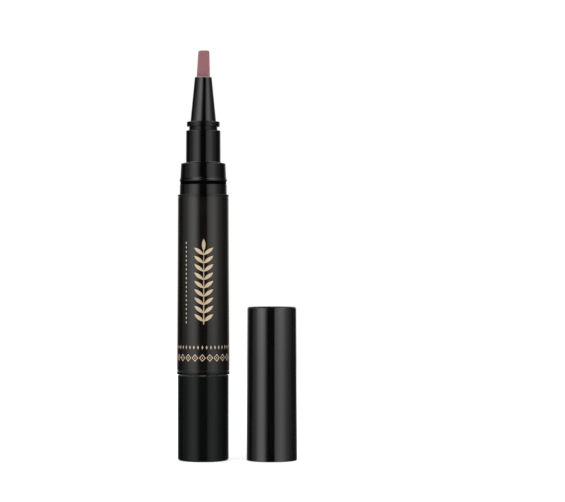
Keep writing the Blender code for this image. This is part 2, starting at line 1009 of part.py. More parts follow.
def make_cap_shell():
    step_up = cap_mouth_radius - cap_bore_radius
    shell = turned(
        "cap_shell",
        [
            (0, cap_height),
            (cap_head_radius, cap_height, cap_top_round),
            (cap_rim_radius, 0, cap_rim_round),
            (cap_mouth_radius, 0),
            (cap_mouth_radius, cap_mouth_depth),
            (cap_bore_radius, cap_mouth_depth + step_up),
            (cap_bore_radius, cap_height - cap_end_wall),
            (0, cap_height - cap_end_wall),
        ],
        outer_sides,
    )
    shell.location.x = cap_distance
    paint(shell, (0.010, 0.010, 0.011), 0.20)
    return shell


def make_cap_liner():
    top = liner_top
    fin_radius = cap_bore_radius - running_gap
    wide_outer = liner_bore_radius + liner_wall
    narrow_outer = liner_narrow_radius + liner_wall
    step_base = liner_step_level
    step_top = step_base + liner_bore_radius - liner_narrow_radius
    liner = turned(
        "cap_liner",
        [
            (0, top),
            (narrow_outer, top),
            (narrow_outer, step_top),
            (wide_outer, step_base),
            (wide_outer, liner_mouth_height + liner_flange_height),
            (fin_radius, liner_mouth_height + liner_flange_height),
            (fin_radius, liner_mouth_height),
            (liner_bore_radius, liner_mouth_height),
            (liner_bore_radius, step_base),
            (liner_narrow_radius, step_top),
            (liner_narrow_radius, top - liner_wall),
            (0, top - liner_wall),
        ],
        inner_sides,
    )
    fins = ring_of_blocks(
        "cap_liner_fins",
        liner_fin_count,
        liner_fin_width,
        liner_narrow_radius + liner_wall / 2,
        fin_radius,
        liner_mouth_height + liner_flange_height / 2,
        top - cap_top_round,
    )
    bore = turned(
        "cap_liner_bore",
        [
            (0, step_top),
            (liner_narrow_radius, step_top),
            (liner_bore_radius, step_base),
            (liner_bore_radius, liner_mouth_height - cut_overrun),
            (0, liner_mouth_height - cut_overrun),
        ],
        inner_sides,
        helpers,
    )
    for shape in (liner, fins, bore):
        shape.location.x = cap_distance
    combine(fins, bore, "DIFFERENCE")
    combine(liner, fins, "UNION")
    paint(liner, (0.85, 0.85, 0.83), 0.40)
    return liner


def make_joint(name, place, children):
    """An empty on a joint's axis, with the pieces that move on it as its children."""
    empty = bpy.data.objects.new(name, None)
    empty.location = place
    empty.empty_display_size = knob_radius
    pen.objects.link(empty)
    bpy.context.view_layer.update()
    for child in children:
        world = child.matrix_world.copy()
        child.parent = empty
        child.matrix_world = world
    return empty


clear_scene()
pen = make_collection("nail_art_pen")
helpers = make_collection("nail_art_pen_cutters")

barrel_pieces = [
    make_barrel(),
    make_label_sleeve(),
    make_drive_nut(),
    make_collar(),
    make_collar_seal(),
    make_nozzle(),
    make_brush_holder(),
    make_feed_tube(),
    make_brush_bristles(),
]
knob_pieces = [make_knob(), make_rotator(), make_click_ring()]
spindle = make_spindle()
piston = make_piston()
cap_pieces = [make_cap_shell(), make_cap_liner()]

knob_turn = make_joint("knob_turn", (0, 0, 0), knob_pieces)
spindle_feed = make_joint("spindle_feed", (0, 0, 0), [spindle])
spindle_feed.parent = knob_turn
piston_feed = make_joint("piston_feed", (0, 0, 0), [piston])
cap_lift = make_joint("cap_lift", (cap_distance, 0, 0), cap_pieces)

for piece in barrel_pieces + knob_pieces + [spindle, piston] + cap_pieces:
    settle(piece)
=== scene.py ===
import math
import random

import bmesh
import bpy
from mathutils import Matrix, Vector


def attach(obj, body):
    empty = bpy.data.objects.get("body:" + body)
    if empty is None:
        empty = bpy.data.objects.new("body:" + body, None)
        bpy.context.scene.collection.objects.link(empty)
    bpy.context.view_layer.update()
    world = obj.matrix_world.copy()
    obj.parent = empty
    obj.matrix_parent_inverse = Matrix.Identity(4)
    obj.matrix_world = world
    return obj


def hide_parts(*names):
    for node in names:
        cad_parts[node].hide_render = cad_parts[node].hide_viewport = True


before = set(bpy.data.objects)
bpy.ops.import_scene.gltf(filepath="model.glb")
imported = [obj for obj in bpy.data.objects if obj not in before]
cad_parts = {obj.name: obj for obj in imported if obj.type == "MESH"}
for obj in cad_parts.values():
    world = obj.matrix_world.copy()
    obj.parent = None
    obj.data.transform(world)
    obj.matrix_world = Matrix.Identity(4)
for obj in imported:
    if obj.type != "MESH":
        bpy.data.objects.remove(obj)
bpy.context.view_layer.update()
print("frame:", len(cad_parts), "CAD nodes")

mm = 0.001            # every length below is in millimetres, times this
joinDistance = 0.001  # mm
turnSteps = 128
smoothAngle = 32      # degrees: sharper edges than this stay sharp
cornerSteps = 5       # in each rounded corner of an outline
capMiddle = 20.9      # where the cap stands, along X


# small moves that every piece uses

def selectNothing():
    if bpy.context.mode != "OBJECT":
        bpy.ops.object.mode_set(mode="OBJECT")
    bpy.ops.object.select_all(action="DESELECT")


def makeActive(piece):
    selectNothing()
    piece.select_set(True)
    bpy.context.view_layer.objects.active = piece


def openPiece(piece):
    makeActive(piece)
    bpy.ops.object.mode_set(mode="EDIT")
    bpy.ops.mesh.select_mode(type="VERT")


def closePiece():
    bpy.ops.object.mode_set(mode="OBJECT")


def placeInScene(thing):
    bpy.context.scene.collection.objects.link(thing)


def pickAll():
    bpy.ops.mesh.select_all(action="SELECT")


def pickVerts(piece, wanted):
    bpy.ops.mesh.select_mode(type="VERT")
    bpy.ops.mesh.select_all(action="DESELECT")
    shape = bmesh.from_edit_mesh(piece.data)
    for vert in shape.verts:
        if wanted(vert.co / mm):
            vert.select_set(True)
    shape.select_flush(True)
    bmesh.update_edit_mesh(piece.data)


def newPiece(name):
    # a plane, named, with nothing of it left but one vertex at the origin
    selectNothing()
    bpy.ops.mesh.primitive_plane_add(size=mm, location=(0, 0, 0))
    piece = bpy.context.object
    piece.name = name
    piece.data.name = name
    openPiece(piece)
    pickAll()
    bpy.ops.mesh.merge(type="CENTER")
    return piece


def drawOutline(piece, corners, middle=0, roundSteps=cornerSteps):
    # corners are (radius, height) or (radius, height, round); a ring's outline is closed
    points = [Vector((middle + corner[0], 0, corner[1])) for corner in corners]
    bpy.ops.transform.translate(value=points[0] * mm)
    for start, end in zip(points, points[1:]):
        bpy.ops.mesh.extrude_vertices_move(TRANSFORM_OT_translate={"value": (end - start) * mm})
    if corners[0][0] > 0:
        ends = points[0], points[-1]
        pickVerts(piece, lambda co: min((co - end).length for end in ends) < joinDistance)
        bpy.ops.mesh.edge_face_add()
    rounds = sorted({corner[2] for corner in corners if len(corner) > 2})
    for size in rounds:
        soft = [point for point, corner in zip(points, corners) if len(corner) > 2 and corner[2] == size]
        pickVerts(piece, lambda co: min((co - point).length for point in soft) < joinDistance)
        bpy.ops.mesh.bevel(offset=size * mm, segments=roundSteps, affect="VERTICES")


def fillOutline():
    pickAll()
    bpy.ops.mesh.edge_face_add()


def closeSeams():
    pickAll()
    bpy.ops.mesh.remove_doubles(threshold=joinDistance * mm)
    bpy.ops.mesh.normals_make_consistent(inside=False)


def spinRound(middle, steps):
    pickAll()
    bpy.ops.mesh.spin(steps=steps, angle=math.tau, center=(middle * mm, 0, 0), axis=(0, 0, 1))
    closeSeams()


def named(sizes, corners):
    # corners whose radius, height and round are names in the piece's sizes
    return [[sizes[word] for word in corner] for corner in corners]


def turnPiece(name, corners, middle=0, steps=turnSteps, roundSteps=cornerSteps):
    piece = newPiece(name)
    drawOutline(piece, corners, middle, roundSteps)
    spinRound(middle, steps)
    closePiece()
    return piece


def ringOfBlocks(name, count, width, inner, outer, low, high, middle=0):
    piece = newPiece(name)
    pickAll()
    bpy.ops.mesh.delete(type="VERT")
    for index in range(count):
        angle = math.tau * index / count
        reach = (inner + outer) / 2
        place = (middle + reach * math.cos(angle), reach * math.sin(angle), (low + high) / 2)
        bpy.ops.mesh.primitive_cube_add(
            size=mm,
            location=[side * mm for side in place],
            rotation=(0, 0, angle),
            scale=(outer - inner, width, high - low),
        )
    closePiece()
    return piece


def combine(piece, other, operation):
    cut = piece.modifiers.new(other.name, "BOOLEAN")
    cut.operation = operation
    cut.object = other
    cut.solver = "EXACT"
    makeActive(piece)
    bpy.ops.object.modifier_apply(modifier=cut.name)
    bpy.data.objects.remove(other)


def smoothPiece(piece):
    makeActive(piece)
    bpy.ops.object.shade_smooth_by_angle(angle=math.radians(smoothAngle))
    weighted = piece.modifiers.new("flatsStayFlat", "WEIGHTED_NORMAL")
    weighted.keep_sharp = True
    bpy.ops.object.modifier_apply(modifier=weighted.name)


def finishPiece(piece, body, node, material):
    smoothPiece(piece)
    piece.data.materials.clear()
    piece.data.materials.append(material)
    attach(piece, body)
    if node:
        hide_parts(node)


def paintFaces(piece, material, wanted):
    # wanted takes a face's radius and height in mm
    piece.data.materials.append(material)
    for face in piece.data.polygons:
        place = face.center / mm
        if wanted(math.hypot(place.x, place.y), place.z):
            face.material_index = len(piece.data.materials) - 1


def copyNode(node, name):
    # the CAD node's own mesh stays as it is: its copy is merged
    selectNothing()
    piece = bpy.data.objects.new(name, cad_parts[node].data.copy())
    piece.data.name = name
    placeInScene(piece)
    makeActive(piece)
    bpy.ops.mesh.customdata_custom_splitnormals_clear()
    openPiece(piece)
    pickAll()
    bpy.ops.mesh.remove_doubles(threshold=joinDistance * mm)
    closePiece()
    return piece


# materials: small node helpers, then one function or call for each finish

def addNode(tree, kind, place, **values):
    node = tree.nodes.new(kind)
    node.location = place
    for key, value in values.items():
        setattr(node, key, value)
    return node


def newMaterial(name):
    material = bpy.data.materials.new(name)
    material.use_nodes = True
    return material, material.node_tree


def setInputs(node, values):
    for key, value in values.items():
        node.inputs[key].default_value = value


def addMath(tree, place, operation, *values):
    # each value is a number or another node's output
    node = addNode(tree, "ShaderNodeMath", place, operation=operation)
    for socket, value in zip(node.inputs, values):
        if isinstance(value, bpy.types.NodeSocket):
            tree.links.new(value, socket)
        else:
            socket.default_value = value
    return node.outputs[0]


def addNoise(tree, place, size, detail=2.0, stretch=(1, 1, 1)):
    # size is the width of one blotch in mm; stretch pulls it out along an axis
    where = addNode(tree, "ShaderNodeTexCoord", (place[0] - 400, place[1]))
    mapping = addNode(tree, "ShaderNodeMapping", (place[0] - 200, place[1]))
    noise = addNode(tree, "ShaderNodeTexNoise", place)
    setInputs(mapping, {"Scale": [1 / side for side in stretch]})
    setInputs(noise, {"Scale": 1 / (size * mm), "Detail": detail})
    tree.links.new(where.outputs["Object"], mapping.inputs["Vector"])
    tree.links.new(mapping.outputs["Vector"], noise.inputs["Vector"])
    return noise.outputs["Fac"]


def addRange(tree, place, source, low, high, fromLow=0.3, fromHigh=0.7):
    spread = addNode(tree, "ShaderNodeMapRange", place)
    setInputs(spread, {"From Min": fromLow, "From Max": fromHigh, "To Min": low, "To Max": high})
    tree.links.new(source, spread.inputs["Value"])
    return spread.outputs["Result"]


def addMix(tree, place, factor, first, second):
    mix = addNode(tree, "ShaderNodeMix", place, data_type="RGBA")
    mix.inputs[6].default_value = (*first, 1)
    mix.inputs[7].default_value = (*second, 1)
    tree.links.new(factor, mix.inputs[0])
    return mix.outputs[2]


def addBump(tree, place, height, depth, under=None):
    bump = addNode(tree, "ShaderNodeBump", place)
    setInputs(bump, {"Strength": 1.0, "Distance": depth * mm})
    tree.links.new(height, bump.inputs["Height"])
    if under:
        tree.links.new(under, bump.inputs["Normal"])
    return bump.outputs["Normal"]


def paintShader(tree, tintSource, tints, glossSource, roughness, skin):
    # the tint follows one pattern between two colours, the roughness another; skin is the bumped normal
    shader = tree.nodes["Principled BSDF"]
    tint = addMix(tree, (-400, 300), addRange(tree, (-650, 300), tintSource, 0, 1), *tints)
    tree.links.new(tint, shader.inputs["Base Color"])
    tree.links.new(addRange(tree, (-650, 0), glossSource, *roughness), shader.inputs["Roughness"])
    tree.links.new(skin, shader.inputs["Normal"])
    return shader


# width and detail of the slow changes of tint and of gloss that every moulded piece has
mould = {"drift": (6.0, 3.0), "smear": (3.5, 4.0, (1, 1, 2.5)), "grainDetail": 2.0, "rippleDetail": 1.0}


def mouldedPlastic(name, tints, roughness, skin, shine=0.5, others=None):
    # colour drifts a little, gloss varies in soft smears, and the skin has a fine grain and a slow ripple
    material, tree = newMaterial(name)
    drift = addNoise(tree, (-900, 300), *mould["drift"])
    smears = addNoise(tree, (-900, 0), *mould["smear"])
    fine = addNoise(tree, (-900, -300), skin["grain"], mould["grainDetail"])
    slow = addNoise(tree, (-900, -600), skin["ripple"], mould["rippleDetail"])
    bump = addBump(tree, (-400, -300), fine, skin["grainDepth"])
    bump = addBump(tree, (-200, -300), slow, skin["rippleDepth"], bump)
    shader = paintShader(tree, drift, tints, smears, roughness, bump)
    setInputs(shader, {"IOR": 1.50, "Specular IOR Level": shine, **(others or {})})
    return material


# skins: the width of the grain and of the ripple, and how deep they are, in mm
polished = {"grain": 0.12, "grainDepth": 0.0003, "ripple": 5.0, "rippleDepth": 0.003}
knobSkin = {"grain": 0.10, "grainDepth": 0.0004, "ripple": 5.0, "rippleDepth": 0.003}
# the skin of the painted shade and painted highlight marks
paintedMarkSkin = {"grain": 0.08, "grainDepth": 0.0010, "ripple": 3.0, "rippleDepth": 0.003}
filmSkin = {"grain": 0.09, "grainDepth": 0.0004, "ripple": 4.0, "rippleDepth": 0.004}
filmEdge = {"grain": 0.09, "grainDepth": 0.0004, "ripple": 2.0, "rippleDepth": 0.004}
asMoulded = {"grain": 0.10, "grainDepth": 0.002, "ripple": 3.0, "rippleDepth": 0.008}
softSkin = {"grain": 0.10, "grainDepth": 0.002, "ripple": 2.5, "rippleDepth": 0.010}
rubberSkin = {"grain": 0.06, "grainDepth": 0.002, "ripple": 1.5, "rippleDepth": 0.006}
foilSkin = {"grain": 0.05, "grainDepth": 0.0008, "ripple": 1.2, "rippleDepth": 0.004}

moulded = {
    # the two colours that it drifts between, the roughness from and to, the skin, the shine, and what else
    "coneBlack": (((0.0020, 0.0020, 0.0020), (0.0030, 0.0030, 0.0029)), (0.08, 0.12), polished, 0.58),
    "capBlack": (((0.0024, 0.0024, 0.0024), (0.0034, 0.0034, 0.0033)), (0.07, 0.11), polished, 0.78),
    "rimBlack": (((0.0030, 0.0030, 0.0030), (0.0040, 0.0040, 0.0038)), (0.14, 0.20), polished, 1.00),
    "flangeBlack": (((0.0020, 0.0020, 0.0020), (0.0030, 0.0030, 0.0029)), (0.10, 0.14), polished, 0.24),
    "collarBlack": (((0.0013, 0.0013, 0.0013), (0.0021, 0.0021, 0.0020)), (0.09, 0.13), polished, 0.33),
    "barrelBlack": (((0.0016, 0.0015, 0.0014), (0.0024, 0.0023, 0.0021)), (0.09, 0.13), polished, 0.34),
    "satinBlack": (((0.0031, 0.0039, 0.0037), (0.0041, 0.0050, 0.0048)), (0.07, 0.11), knobSkin, 0.18),
    # painted shade: near black and barely glossy, for the recess under the collar's bead
    "seamBlack": (((0.0006, 0.0006, 0.0006), (0.0010, 0.0010, 0.0010)), (0.45, 0.60), paintedMarkSkin, 0.01),
    # a painted highlight line in the gap between knob and barrel, its sheen brightening it towards the
    # sides
    "seamPale": (((0.050, 0.050, 0.049), (0.062, 0.062, 0.060)), (0.40, 0.55), paintedMarkSkin, 0.10,
                 {"Sheen Weight": 1.0, "Sheen Roughness": 0.50}),
    # a painted highlight line for the knob's mouth rounding
    "edgeWorn": (((0.010, 0.011, 0.011), (0.014, 0.015, 0.015)), (0.30, 0.42), paintedMarkSkin, 0.08),
    # a painted highlight: light grey for the nozzle tip's rounding
    "gelTouched": (((0.300, 0.262, 0.262), (0.330, 0.290, 0.290)), (0.30, 0.42), paintedMarkSkin, 0.40),
    "filmBlack": (((0.0050, 0.0043, 0.0033), (0.0066, 0.0058, 0.0046)), (0.11, 0.16), filmSkin, 0.40),
    # a painted highlight line along the film's foot
    "filmCut": (((0.0110, 0.0105, 0.0095), (0.0150, 0.0140, 0.0130)), (0.18, 0.26), filmEdge, 0.40),
    "naturalWhite": (((0.76, 0.76, 0.74), (0.82, 0.82, 0.81)), (0.34, 0.46), asMoulded, 0.5,
                     {"Subsurface Weight": 0.15, "Subsurface Scale": 0.0008}),
    "creamWhite": (((0.76, 0.71, 0.58), (0.82, 0.78, 0.66)), (0.30, 0.40), asMoulded, 0.5, {"IOR": 1.48}),
    "softMilky": (((0.78, 0.79, 0.78), (0.84, 0.85, 0.84)), (0.40, 0.55), softSkin, 0.5,
                  {"Subsurface Weight": 0.3, "Subsurface Scale": 0.0015}),
    "sealRubber": (((0.50, 0.10, 0.075), (0.56, 0.13, 0.10)), (0.50, 0.62), rubberSkin, 0.5, {"IOR": 1.52}),
    "goldFoil": (((0.58, 0.44, 0.29), (0.66, 0.51, 0.35)), (0.26, 0.38), foilSkin, 0.5, {"Metallic": 0.15}),
}
steelTube = {
    "lines": (0.03, 2.0, (1, 1, 30)), "depth": 0.001,
    "tints": ((0.60, 0.60, 0.60), (0.74, 0.74, 0.73)), "roughness": (0.22, 0.36),
}
wetTuft = {
    "streaks": (0.10, 3.0, (1, 1, 18)), "patches": (1.6, 2.0, (1, 1, 2)), "depth": 0.006,
    "tints": ((0.264, 0.109, 0.121), (0.295, 0.124, 0.138)), "roughness": (0.36, 0.50),
    "others": {"IOR": 1.48, "Subsurface Weight": 0.25, "Subsurface Scale": 0.0006,
               "Coat Weight": 0.15, "Coat Roughness": 0.25},
}


def drawnSteel():
    # fine lines along the tube, in its tint, its gloss and its skin
    material, tree = newMaterial("drawnSteel")
    lines = addNoise(tree, (-900, 0), *steelTube["lines"])
    skin = addBump(tree, (-400, -300), lines, steelTube["depth"])
    shader = paintShader(tree, lines, steelTube["tints"], lines, steelTube["roughness"], skin)
    setInputs(shader, {"Metallic": 1.0})
    return material


def roseGel():
    # filaments wet with gel: the colour runs in fine streaks along them
    material, tree = newMaterial("roseGel")
    streaks = addNoise(tree, (-900, 300), *wetTuft["streaks"])
    patches = addNoise(tree, (-900, 0), *wetTuft["patches"])
    skin = addBump(tree, (-400, -300), streaks, wetTuft["depth"])
    shader = paintShader(tree, streaks, wetTuft["tints"], patches, wetTuft["roughness"], skin)
    setInputs(shader, wetTuft["others"])
    return material


finish = {name: mouldedPlastic(name, *values) for name, values in moulded.items()}
finish["drawnSteel"] = drawnSteel()
finish["roseGel"] = roseGel()
print("materials made:", len(finish))


# the knob: a closed cup with four fins that carry and turn the rotator

knob = {
    "radius": 7.76, "height": 25.93, "footRound": 0.7, "mouthRound": 0.18, "lipRound": 0.08,
    "bore": 6.6, "floor": 1.6, "floorRound": 0.3,
    "mark": {"inner": 5.05, "outer": 5.35, "depth": 0.12, "slope": 0.06, "round": 0.05},
    "gate": {"radius": 0.7, "depth": 0.15, "slope": 0.1, "round": 0.05},
    "ledge": {"count": 4, "width": 1.2, "inner": 5.1, "top": 12.0, "sink": 0.4},
    "grip": {"count": 4, "width": 1.0, "inner": 6.0, "top": 20.5, "sink": 0.2},
    # where the painted mouth highlight begins
    "mouthHighlightInner": 6.7,
}


def makeKnob():
    mark, gate, ledge, grip = knob["mark"], knob["gate"], knob["ledge"], knob["grip"]
    piece = turnPiece("knobCup", [
        (0, knob["floor"]),
        (knob["bore"], knob["floor"], knob["floorRound"]),
        (knob["bore"], knob["height"], knob["lipRound"]),
        (knob["radius"], knob["height"], knob["mouthRound"]),
        (knob["radius"], 0, knob["footRound"]),
        (mark["outer"], 0, mark["round"]),
        (mark["outer"] - mark["slope"], mark["depth"]),
        (mark["inner"] + mark["slope"], mark["depth"]),
        (mark["inner"], 0, mark["round"]),
        (gate["radius"], 0, gate["round"]),
        (gate["radius"] - gate["slope"], gate["depth"]),
        (0, gate["depth"]),
    ])
    fins = ringOfBlocks(
        "knobLedges", ledge["count"], ledge["width"], ledge["inner"], knob["bore"] + ledge["sink"],
        knob["floor"] - ledge["sink"], ledge["top"],
    )
    grips = ringOfBlocks(
        "knobGrips", grip["count"], grip["width"], grip["inner"], knob["bore"] + grip["sink"],
        ledge["top"] - ledge["sink"], grip["top"],
    )
    combine(fins, grips, "UNION")
    combine(piece, fins, "UNION")
    finishPiece(piece, "knob", "knob", finish["satinBlack"])
    # the knob's mouth rounding is painted lighter: a painted highlight line along its rim
    paintFaces(piece, finish["edgeWorn"], lambda radius, height: (
        radius > knob["mouthHighlightInner"] and height > knob["height"] - knob["mouthRound"]))


# the barrel: tapered wall, bare ring at the foot, shoulder and spigot at the head

barrel = {
    "foot": 26.22, "ring": 8.01, "ringTop": 27.18, "ringRound": 0.20, "footRound": 0.10,
    "wallFoot": 7.74, "wallWaist": 7.60, "waist": 52.2, "wallHead": 7.48,
    "lip": 7.79, "lipBase": 80.3, "lipRound": 0.15, "shoulder": 80.9,
    "spigotFoot": 7.20, "spigotHead": 7.13, "spigotRound": 0.06, "top": 84.00, "topRound": 0.04,
    "bore": 6.5, "boreRound": 0.10, "rearBore": 6.8, "rearTop": 38.9,
    "skirt": 7.30, "skirtFoot": 26.00, "skirtRound": 0.05,
    "groove": 7.6, "grooveFoot": 27.6, "grooveTop": 29.0,
    "rib": {"count": 4, "width": 1.7, "inner": 6.65, "outer": 7.5, "foot": 25.22},
    # where the painted seam highlight reaches
    "seamHighlightInner": 7.1, "seamHighlightTop": 26.23,
}


def makeBarrel():
    rib = barrel["rib"]
    piece = turnPiece("barrelTube", named(barrel, [
        ("spigotHead", "top", "topRound"),
        ("spigotFoot", "shoulder", "spigotRound"),
        ("lip", "shoulder", "lipRound"),
        ("lip", "lipBase"),
        ("wallHead", "lipBase"),
        ("wallWaist", "waist"),
        ("wallFoot", "ringTop"),
        ("ring", "ringTop", "ringRound"),
        ("ring", "foot", "footRound"),
        ("skirt", "foot"),
        ("skirt", "skirtFoot", "skirtRound"),
        ("rearBore", "skirtFoot", "skirtRound"),
        ("rearBore", "grooveFoot"),
        ("groove", "grooveFoot"),
        ("groove", "grooveTop"),
        ("rearBore", "grooveTop"),
        ("rearBore", "rearTop"),
        ("bore", "rearTop"),
        ("bore", "top", "boreRound"),
    ]))
    grooves = ringOfBlocks(
        "ribGrooves", rib["count"], rib["width"], rib["inner"], rib["outer"],
        rib["foot"], barrel["rearTop"],
    )
    combine(piece, grooves, "DIFFERENCE")
    finishPiece(piece, "barrel", "barrel", finish["barrelBlack"])
    paintFaces(piece, finish["satinBlack"], lambda radius, height: (
        radius > barrel["wallFoot"] and height < film["foot"]))
    # the skirt in the gap above the knob is painted pale with a full sheen: a painted highlight line along
    # the seam
    paintFaces(piece, finish["seamPale"], lambda radius, height: (
        radius > barrel["seamHighlightInner"] and height < barrel["seamHighlightTop"]))


# the label film: a wrapped sleeve whose end laps over its start at the back

film = {
    "foot": 27.42, "cut": 27.64, "waist": 52.2, "head": 80.15, "thick": 0.12,
    "outerFoot": 7.98, "outerWaist": 7.84, "outerHead": 7.72, "edgeRound": 0.03, "edgeSteps": 3,
    "lap": {"angle": 25, "steps": 12, "start": 78, "rise": 0.05, "sink": 0.03,
            "short": 0.05, "round": 0.02, "roundSteps": 2},
}


def makeFilm():
    thick, edge, lap = film["thick"], film["edgeRound"], film["lap"]
    piece = turnPiece("labelFilm", [
        (film["outerHead"], film["head"], edge),
        (film["outerWaist"], film["waist"]),
        (film["outerFoot"], film["cut"]),
        (film["outerFoot"], film["foot"], edge),
        (film["outerFoot"] - thick, film["foot"], edge),
        (film["outerWaist"] - thick, film["waist"]),
        (film["outerHead"] - thick, film["head"], edge),
    ], roundSteps=film["edgeSteps"])
    strip = newPiece("filmLap")
    drawOutline(strip, [
        (film["outerHead"] + lap["rise"], film["head"] - lap["short"], lap["round"]),
        (film["outerWaist"] + lap["rise"], film["waist"]),
        (film["outerFoot"] + lap["rise"], film["foot"] + lap["short"], lap["round"]),
        (film["outerFoot"] - lap["sink"], film["foot"] + lap["short"]),
        (film["outerWaist"] - lap["sink"], film["waist"]),
        (film["outerHead"] - lap["sink"], film["head"] - lap["short"]),
    ], roundSteps=lap["roundSteps"])
    fillOutline()
    bpy.ops.mesh.spin(
        steps=lap["steps"], angle=math.radians(lap["angle"]), center=(0, 0, 0), axis=(0, 0, 1),
    )
    pickAll()
    bpy.ops.transform.rotate(
        value=-math.radians(lap["start"]), orient_axis="Z", center_override=(0, 0, 0),
    )
    closeSeams()
    closePiece()
    combine(piece, strip, "UNION")
    finishPiece(piece, "barrel", "label_sleeve", finish["filmBlack"])
    # the strip below the cut is painted lighter: a painted highlight line along the film's foot edge
    paintFaces(piece, finish["filmCut"], lambda radius, height: height < film["cut"])


# gold foil on the film: a plain sprig, a row of small lozenges beside it, and two bands round the foot

foil = {
    "front": -12, "sink": 0.010, "thick": 0.034, "strip": 0.4, "reach": 5.6, "lapMargin": 3,
    "sprig": {"middle": 0.4, "low": 41.6, "high": 64.2, "stemFoot": 0.17, "stemHead": 0.085,
              "pairs": 9, "firstPair": 0.35, "topLeafSink": 0.4},
    "leaf": {"length": 3.6, "width": 1.10, "turn": 38, "steps": 8},
    "row": {"across": -4.9, "low": 42.2, "high": 66.2, "count": 19, "width": 0.40, "height": 0.80},
    "upperBand": {"level": 34.65, "count": 38, "width": 0.55, "height": 1.25},
    "lowerBand": {"level": 31.5, "count": 22, "width": 2.05, "height": 2.3, "line": 0.23, "drop": 0.22},
}


def copyTo(piece, across=0, level=0, tilt=0, turn=0):
    # tilt turns the copy in the plane of the front, turn carries it round the barrel
    copied = bpy.data.objects.new(piece.name, piece.data.copy())
    placeInScene(copied)
    copied.location = (across * mm, 0, level * mm)
    copied.rotation_euler = (0, -math.radians(tilt), math.radians(turn))
    return copied


def joinTo(piece, others):
    makeActive(piece)
    for other in others:
        other.select_set(True)
    bpy.ops.object.join()
    return piece


def flatLeaf():
    leaf = foil["leaf"]
    piece = newPiece("foilLeaf")
    outline = []
    for step in range(2 * leaf["steps"]):
        angle = math.pi * step / leaf["steps"]
        side = math.copysign(math.sin(angle) ** 2, math.sin(angle))
        outline.append((leaf["length"] * (1 + math.cos(angle)) / 2, leaf["width"] / 2 * side))
    drawOutline(piece, outline)
    fillOutline()
    closePiece()
    return piece


def flatLozenge(name, width, height, line=0):
    selectNothing()
    bpy.ops.mesh.primitive_circle_add(
        vertices=4, radius=mm / 2, fill_type="NGON", rotation=(math.radians(90), 0, 0),
    )
    piece = bpy.context.object
    piece.name = name
    bpy.ops.object.transform_apply(location=False, rotation=True, scale=False)
    openPiece(piece)
    pickAll()
    bpy.ops.transform.resize(value=(width, 1, height), center_override=(0, 0, 0))
    if line:
        bpy.ops.mesh.inset(thickness=line * mm)
        bpy.ops.mesh.delete(type="ONLY_FACE")
    closePiece()
    return piece


def layFoil(piece, base):
    # cut into upright strips that can follow the barrel, laid on the film and given their thickness
    openPiece(piece)
    pickAll()
    bpy.ops.transform.translate(value=(0, foil["front"] * mm, 0))
    strips = int(foil["reach"] / foil["strip"])
    for step in range(-strips, strips + 1):
        pickAll()
        bpy.ops.mesh.bisect(plane_co=(step * foil["strip"] * mm, 0, 0), plane_no=(1, 0, 0))
    bpy.ops.mesh.select_all(action="DESELECT")
    bpy.ops.mesh.select_mode(type="FACE")
    shape = bmesh.from_edit_mesh(piece.data)
    shape.normal_update()
    for face in shape.faces:
        face.select_set(face.normal.y > 0)
    bmesh.update_edit_mesh(piece.data)
    bpy.ops.mesh.flip_normals()
    closePiece()
    wrap = piece.modifiers.new("layOnFilm", "SHRINKWRAP")
    wrap.wrap_method = "PROJECT"
    wrap.use_project_y = True
    wrap.target = base
    wrap.offset = -foil["sink"] * mm
    bpy.ops.object.modifier_apply(modifier=wrap.name)
    skin = piece.modifiers.new("foilThickness", "SOLIDIFY")
    skin.thickness = foil["thick"] * mm
    skin.offset = 1
    bpy.ops.object.modifier_apply(modifier=skin.name)


def makeBand(base, band, lozenges):
    # the first lozenges lie at the front, and copies of them go round to the strip where the film laps
    joinTo(lozenges[0], lozenges[1:])
    openPiece(lozenges[0])
    pickAll()
    bpy.ops.transform.translate(value=(0, 0, band["level"] * mm))
    closePiece()
    layFoil(lozenges[0], base)
    lap = film["lap"]
    margin = foil["lapMargin"] + math.degrees(band["width"] / 2 / film["outerFoot"])
    copies = []
    for index in range(1, band["count"]):
        turn = 360 * index / band["count"]
        angle = turn - 90  # the front is at -90 degrees
        if not lap["start"] - lap["angle"] - margin < angle < lap["start"] + margin:
            copies.append(copyTo(lozenges[0], turn=turn))
    return joinTo(lozenges[0], copies)


